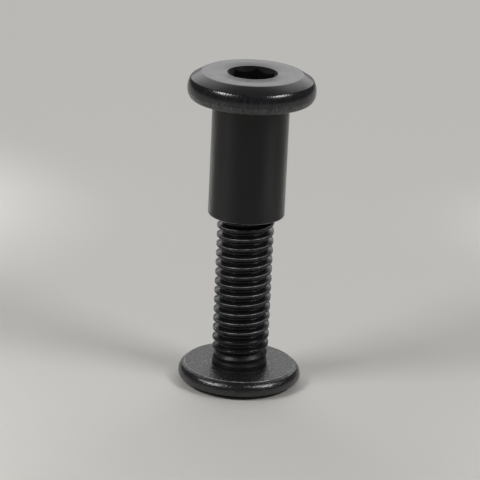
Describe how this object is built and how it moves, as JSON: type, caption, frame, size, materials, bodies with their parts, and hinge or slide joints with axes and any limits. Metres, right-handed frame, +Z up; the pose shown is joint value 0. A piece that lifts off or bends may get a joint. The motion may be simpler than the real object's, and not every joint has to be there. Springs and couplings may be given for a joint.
{
  "type": "binding barrel screw",
  "caption": "Blackened steel barrel nut with a low socket head, partly threaded onto a matching low-head screw, for clamping panels through a hole.",
  "frame": {"origin": "centre of the screw's outer head face, the face it stands on", "axes": "+Z up the common axis, from the screw's head to the nut's head; a corner of the screw's hexagon socket lies on +X"},
  "size_m": [0.0128, 0.0128, 0.0325],
  "materials": {
    "satin_black_steel": "black oxide on turned steel, satin, with fine vertical rub marks",
    "matt_black_steel": "black oxide on forged and rolled steel, matt and slightly rough"
  },
  "bodies": {
    "screw": {"binding_screw": "matt_black_steel"},
    "nut": {"barrel_nut": "satin_black_steel"}
  },
  "joints": [
    {"name": "nut_travel", "type": "slide", "parent": "screw", "child": "nut", "axis": [0, 0, 1], "range_m": [-0.006, 0.005]}
  ]
}
